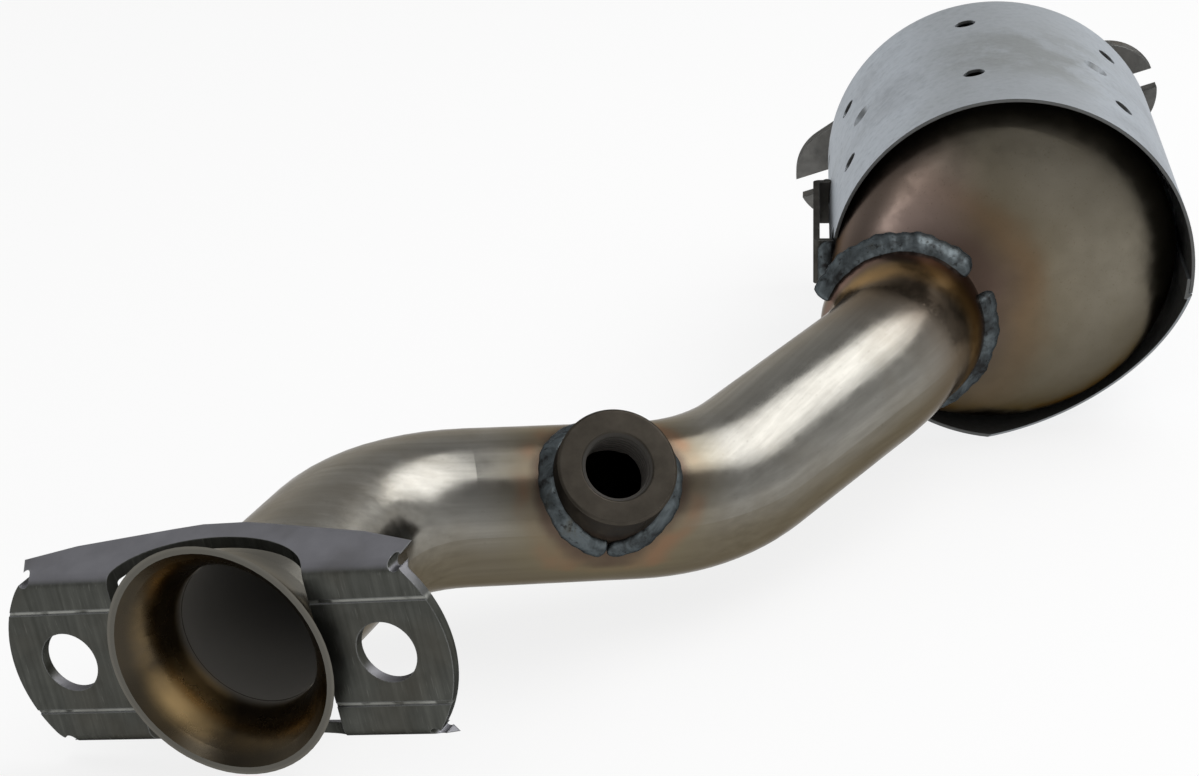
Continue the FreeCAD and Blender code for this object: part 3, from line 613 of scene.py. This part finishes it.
MATERIALS = {make.__name__: make() for make in (
    pipe_steel, flange_steel, boss_steel, weld_metal, dome_steel, can_steel, shield_sheet,
    block_ceramic, mat_fibre, mesh_wire, outlet_steel)}
for part in frame["record"]["subparts"]:
    mesh = NODES[part["node"]].data
    mesh.materials.clear()
    mesh.materials.append(MATERIALS[part["material_slot"]])
NODES["side_strap"].data.materials[0] = strap_steel()


# ------------------------------------------------------------------ pieces made of rings of points
def ring_piece(name, rings, material, closed=True, flip=False):
    """A smooth skin over rings of points; open rows of rings get a cap at each end.

    The last ring joins the first where closed; flip turns the faces the other way out."""
    count = len(rings)
    around = len(rings[0])
    faces = []
    for k in range(count if closed else count - 1):
        here = k * around
        after = (k + 1) % count * around
        for j in range(around):
            turn = (j + 1) % around
            face = (here + j, here + turn, after + turn, after + j)
            faces.append((face[0], *reversed(face[1:])) if flip else face)
    if not closed:
        faces.append(tuple(reversed(range(around))))
        faces.append(tuple(range((count - 1) * around, count * around)))
    mesh = bpy.data.meshes.new(name)
    mesh.from_pydata([point for ring in rings for point in ring], [], faces)
    mesh.validate()
    piece = bpy.data.objects.new(name, mesh)
    bpy.context.scene.collection.objects.link(piece)
    for polygon in mesh.polygons:
        polygon.use_smooth = True
    mesh.materials.append(MATERIALS[material])
    return piece


# ------------------------------------------------------------------ weld beads
BEAD_AROUND = 14                              # points round a bead
END_RINGS = 6                                 # rings over which an open end rounds off
END_LEFT = 0.02                               # square of the share left at the very end
WAVES = ((0.07, 0.55, 1.0), (0.04, 1.7, 0.0))     # slow swelling: share, radians per mm, start
RIPPLE = 1.15                                 # length of one ripple
RIPPLE_LAG = 0.55                             # how far a ripple lags on the bead's flanks
RIPPLE_SHARE = 0.035                          # height of a ripple, as a share of the bead
ROUGH_SHARE = 0.012                           # random unevenness, as a share of the bead


def weld_bead(name, node, path, outward, width, height, closed=False):
    """A ripple-marked bead along a path; outward is the way its crown looks at each point."""
    last = len(path) - 1
    rings = []
    travel = 0.0
    for k, point in enumerate(path):
        if closed:
            ahead = path[(k + 1) % len(path)] - path[k - 1]
        else:
            ahead = path[min(k + 1, last)] - path[max(k - 1, 0)]
        step = ahead.normalized()
        if k:
            travel += (point - path[k - 1]).length
        side = step.cross(outward[k]).normalized()
        crown = side.cross(step).normalized()
        end = min(1.0, min(k, last - k) / END_RINGS)
        taper = 1.0 if closed else math.sqrt(max(END_LEFT, 1 - (1 - end) ** 2))
        drift = sum(share * math.sin(travel * pace + start) for share, pace, start in WAVES)
        ring = []
        for j in range(BEAD_AROUND):
            turn = 2 * math.pi * j / BEAD_AROUND
            bow = travel - RIPPLE_LAG * (1 - math.cos(turn))
            ripple = abs((bow / RIPPLE) % 1.0 - 0.5) * 2
            uneven = random.uniform(-ROUGH_SHARE, ROUGH_SHARE)
            swell = 1 + drift + RIPPLE_SHARE * (ripple - 0.5) + uneven
            across = side * (width * math.sin(turn) * swell * taper)
            lift = crown * (height * math.cos(turn) * swell * taper)
            ring.append((point + across + lift - ORIGIN) * MM)
        rings.append(ring)
    piece = ring_piece(name, rings, "weld_metal", closed)
    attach(piece, "root")
    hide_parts(node)


def stepped_angles(radius, first, last, pace):
    """Angles from first to last in degrees, about a pace apart on a circle; in radians."""
    steps = int(radius * math.radians(last - first) / pace)
    return [math.radians(first + (last - first) * k / steps) for k in range(steps + 1)]


def ring_path(centre, normal, radius, first, last):
    """Points on a circle, from its right hand on, and the way out from its centre at each."""
    side = normal.cross(RIGHTWARD).normalized()
    out = [RIGHTWARD * math.cos(angle) + side * math.sin(angle)
           for angle in stepped_angles(radius, first, last, pace=0.45)]
    return [centre + way * radius for way in out], out


def saddle_path(first, last, reach):
    """Points where a tube round the boss axis meets the pipe, and the way out at each."""
    above_skin = 0.5
    path = []
    out = []
    for angle in stepped_angles(reach, first, last, pace=0.42):
        over = reach * math.sin(angle)
        lift = math.sqrt((PIPE_R + above_skin) ** 2 - over ** 2)
        path.append(FOOT + CROSS * reach * math.cos(angle) + ACROSS * over + BOSS * lift)
        away = CROSS * math.cos(angle) + ACROSS * math.sin(angle)
        skin = (ACROSS * over + BOSS * lift).normalized()
        out.append((away + skin).normalized())
    return path, out


BOSS_BEAD_REACH = 17.0
for name, node, first, last in (("boss_bead_left", "sensor_weld_left", 94.5, 264),
                                ("boss_bead_right", "sensor_weld_right", -84, 94)):
    path, out = saddle_path(first, last, BOSS_BEAD_REACH)
    weld_bead(name, node, path, out, width=3.4, height=1.5)

NECK_BEAD_R = 24.8
NECK_BEAD_BACK = 2.0                          # in front of the neck's mouth
NECK_BEAD_LEAN = 0.9                          # its crown leans forward off the pipe
for name, node, first, last in (("neck_bead_upper", "neck_weld_upper", 200, 320),
                                ("neck_bead_lower", "neck_weld_lower", 336, 506)):
    path, out = ring_path(NECK_MOUTH - NECK * NECK_BEAD_BACK, NECK, NECK_BEAD_R, first, last)
    crowns = [(way - NECK * NECK_BEAD_LEAN).normalized() for way in out]
    weld_bead(name, node, path, crowns, width=4.6, height=2.6)

SEAM_WIDTH = 0.98                             # shares of the solid bead's section
SEAM_HEIGHT = 0.92
for name, node in (("dome_seam_bead", "dome_seam_weld"), ("cone_seam_bead", "cone_seam_weld"),
                   ("tail_bead", "outlet_pipe_weld"), ("tail_flange_bead", "outlet_flange_weld")):
    low, high = (Vector(corner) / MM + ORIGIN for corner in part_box(node))
    section = (high.y - low.y) / 2
    path, out = ring_path((low + high) / 2, REARWARD, (high.x - low.x) / 2 - section, 0, 360)
    weld_bead(name, node, path[:-1], out[:-1], section * SEAM_WIDTH, section * SEAM_HEIGHT,
              closed=True)

# ------------------------------------------------------------------ sensor boss with its thread
BOSS_R = 15.7
BOSS_TOP = 30.6                               # above the pipe's axis
BOSS_EDGE = 0.6                               # chamfer of the outer rim
FACE_MID_R = 12.5                             # a ring half way in on the flat top
CREST_R = 8.2                                 # M18 x 1.5: core radius, root radius and pitch
ROOT_R = 9.0
PITCH = 1.5
CREST_HALF = 0.12                             # half of a crest, as a share of the pitch
FLANK = 0.31                                  # a flank, as a share of the pitch
LEAD = 1.4                                    # cone at the mouth of the thread
SINK = 0.3                                    # the foot stands this deep in the wall of the pipe
BOSS_AROUND = 120
THREAD_ROWS = 88
BOSS_RIM = ((BOSS_R, BOSS_TOP - BOSS_EDGE), (BOSS_R - BOSS_EDGE, BOSS_TOP),
            (FACE_MID_R, BOSS_TOP), (CREST_R + LEAD, BOSS_TOP))
SHARP = math.radians(30)                      # steeper edges stay sharp


def thread_radius(height, angle):
    """Radius of the internal thread and its lead cone, at a height above the pipe's axis."""
    phase = (height / PITCH - angle / (2 * math.pi)) % 1.0
    rise = min(phase - CREST_HALF, 1 - CREST_HALF - phase) / FLANK
    groove = CREST_R + (ROOT_R - CREST_R) * max(0.0, min(1.0, rise))
    return max(groove, CREST_R + height - (BOSS_TOP - LEAD))


def saddle_height(radius, angle):
    """Height at which a tube round the boss axis ends, just inside the wall of the pipe."""
    return math.sqrt(PIPE_R ** 2 - (radius * math.sin(angle)) ** 2) - SINK


def boss_section(row, angle):
    """Radius and height on the boss: up the outside, in over the top and down the thread."""
    if row == 0:
        return BOSS_R, saddle_height(BOSS_R, angle)
    if row <= len(BOSS_RIM):
        return BOSS_RIM[row - 1]
    share = (row - len(BOSS_RIM)) / THREAD_ROWS
    height = BOSS_TOP + (saddle_height(CREST_R, angle) - BOSS_TOP) * share
    return thread_radius(height, angle), height


rings = []
for row in range(1 + len(BOSS_RIM) + THREAD_ROWS):
    ring = []
    for k in range(BOSS_AROUND):
        angle = 2 * math.pi * k / BOSS_AROUND
        radius, height = boss_section(row, angle)
        way = CROSS * math.cos(angle) + ACROSS * math.sin(angle)
        ring.append((FOOT + way * radius + BOSS * height - ORIGIN) * MM)
    rings.append(ring)
piece = ring_piece("threaded_boss", rings, "boss_steel", flip=True)
piece.data.set_sharp_from_angle(angle=SHARP)
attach(piece, "root")
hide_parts("sensor_boss")

# ------------------------------------------------------------------ swollen end of the pipe
ARC_R = 56.0                                  # last bend of the pipe
NECK_RUN = 22.5                               # from that bend's corner to the neck's mouth
BEND_3 = NECK_MOUTH - NECK * NECK_RUN
RISE = (BEND_3 - BEND_2).normalized()
ARC_END = BEND_3 + NECK * ARC_R * math.tan(RISE.angle(NECK) / 2)
INNER = (NECK * RISE.dot(NECK) - RISE).normalized()
# Way back from the end of the bend, and radius of the skin there.
SWELL = ((24.0, 20.96), (21.5, 21.01), (18.5, 21.24), (15.0, 21.75), (11.5, 22.5),
         (7.5, 23.4), (3.5, 24.0), (0.0, 24.15), (-3.0, 24.1))
HIDDEN_R = 20.9                               # the skin's inside lies in the wall of the pipe
SWELL_AROUND = 96
SWELL_PARTS = 4                               # rings between two stops


def swell_ring(back, radius):
    """A ring round the pipe's centre line, a way back from the end of its last bend."""
    turn = max(0.0, back) / ARC_R
    centre = ARC_END - NECK * (ARC_R * math.sin(turn)) + INNER * (ARC_R * (1 - math.cos(turn)))
    if back < 0:
        centre = ARC_END - NECK * back
    ahead = (NECK * math.cos(turn) - INNER * math.sin(turn)).normalized()
    over = ahead.cross(INNER).normalized()
    side = over.cross(ahead).normalized()
    angles = (2 * math.pi * k / SWELL_AROUND for k in range(SWELL_AROUND))
    return [(centre + (side * math.cos(a) + over * math.sin(a)) * radius - ORIGIN) * MM
            for a in angles]


def smooth_stops(stops, parts):
    """Stops of a profile, with points between them on a Catmull-Rom curve."""
    fine = []
    for k in range(len(stops) - 1):
        near = [stops[max(0, min(len(stops) - 1, k + n))] for n in (-1, 0, 1, 2)]
        for step in range(parts):
            t = step / parts
            fine.append(tuple(0.5 * (2 * b + (c - a) * t + (2 * a - 5 * b + 4 * c - d) * t * t
                                     + (3 * b - a - 3 * c + d) * t ** 3)
                              for a, b, c, d in zip(*near)))
    return fine + [stops[-1]]


profile = smooth_stops(SWELL, SWELL_PARTS)
rings = [swell_ring(back, radius) for back, radius in profile]
rings += [swell_ring(back, HIDDEN_R) for back, _ in reversed(profile[1:])]
piece = ring_piece("neck_swell", rings, "pipe_steel")
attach(piece, "root")

# ------------------------------------------------------------------ floor
FLOOR_HALF = 6                                # metres
GLOW_SHARE = 0.80                             # lifts the floor to the photograph's white
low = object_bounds()[0]
floor_mesh = bpy.data.meshes.new("floor")
floor_mesh.from_pydata([(x * FLOOR_HALF, y * FLOOR_HALF, low[2])
                        for x, y in ((-1, -1), (1, -1), (1, 1), (-1, 1))], [], [(0, 1, 2, 3)])
floor = bpy.data.objects.new("floor", floor_mesh)
bpy.context.scene.collection.objects.link(floor)

g = Graph("floor")
paper = g.mix(g.noise(3, 2), (236, 236, 236), (240, 240, 240))
g.done(paper, 0.9, 0.0)
glow = g.node("ShaderNodeEmission")
glow.inputs["Strength"].default_value = 1.0
straight = g.seen_straight(g.node("ShaderNodeLightPath").outputs)
g.link(g.blend(g.times(straight, GLOW_SHARE), g.shader.outputs[0], glow.outputs[0]), g.surface)
floor_mesh.materials.append(g.material)

# ------------------------------------------------------------------ backdrop
# White to the camera. Gloss sees a room that is darker on the side of the camera and towards the
# ceiling; everything else gets an even, dimmer light.
AMBIENT = 0.62
ROOM_FRONT = 0.60                             # brightness behind the camera; 1 beyond the part
FRONT_Y, REAR_Y = -0.35, 0.65                 # between these the room grows lighter
CEILING = ((0.20, 1.0), (0.50, 0.60), (0.70, 0.48), (0.88, 0.33))     # height, brightness
WHITE = (1, 1, 1, 1)

world = bpy.data.worlds.new("studio")
bpy.context.scene.world = world
world.use_nodes = True
sky = Nodes(world.node_tree)
path = sky.node("ShaderNodeLightPath").outputs
straight = sky.seen_straight(path)
dim = sky.node("ShaderNodeBackground")
dim.inputs[0].default_value = WHITE
dim.inputs[1].default_value = AMBIENT
white = sky.node("ShaderNodeBackground")
white.inputs[0].default_value = WHITE
split = sky.node("ShaderNodeSeparateXYZ")
sky.link(sky.node("ShaderNodeTexCoord").outputs["Generated"], split.inputs[0])
room = sky.span(split.outputs["Y"], FRONT_Y, REAR_Y, ROOM_FRONT, 1.0)
ceiling = sky.ramp(split.outputs["Z"], *((z, (light, light, light, 1)) for z, light in CEILING))
level = sky.maths("MAXIMUM", sky.times(room, ceiling), path["Is Camera Ray"])
sky.link(level, white.inputs[1])
sky.link(sky.blend(straight, dim.outputs[0], white.outputs[0]),
         sky.node("ShaderNodeOutputWorld").inputs[0])

# ------------------------------------------------------------------ lamps
CENTRE = at(110, 150, 5)


def area_light(name, offset, size_x, size_y, power):
    """A lamp at an offset from the middle of the part, aimed at it; metres and watts."""
    lamp = bpy.data.lights.new(name, "AREA")
    lamp.shape = "RECTANGLE"
    lamp.size = size_x
    lamp.size_y = size_y
    lamp.energy = power
    holder = bpy.data.objects.new(name, lamp)
    bpy.context.scene.collection.objects.link(holder)
    place = CENTRE + Vector(offset)
    holder.location = place
    holder.rotation_euler = (CENTRE - place).to_track_quat("-Z", "Y").to_euler()


area_light("key", (0.56, 0.12, 0.82), 0.98, 0.80, 5.2)
area_light("core", (0.56, 0.13, 0.82), 0.70, 0.40, 1.1)
area_light("fill", (-0.37, -0.88, 0.73), 0.36, 0.36, 1.0)

# ------------------------------------------------------------------ camera
EYE = at(139.8, -573.5, 316.3)
EYE_RIGHT = (0.9971, 0.0700, -0.0300)
EYE_AHEAD = (-0.0762, 0.9164, -0.3930)

camera = bpy.data.cameras.new("camera")
camera.lens = 84.07
camera.sensor_width = 36.0
camera.clip_start = 0.01
camera.clip_end = 30
holder = bpy.data.objects.new("camera", camera)
bpy.context.scene.collection.objects.link(holder)
ahead = Vector(EYE_AHEAD).normalized()
up = Vector(EYE_RIGHT).normalized().cross(ahead).normalized()
right = ahead.cross(up).normalized()
turn = Matrix((right, up, -ahead)).transposed().to_4x4()
holder.matrix_world = Matrix.Translation(EYE) @ turn
bpy.context.scene.camera = holder

bpy.context.scene.view_settings.view_transform = "Standard"
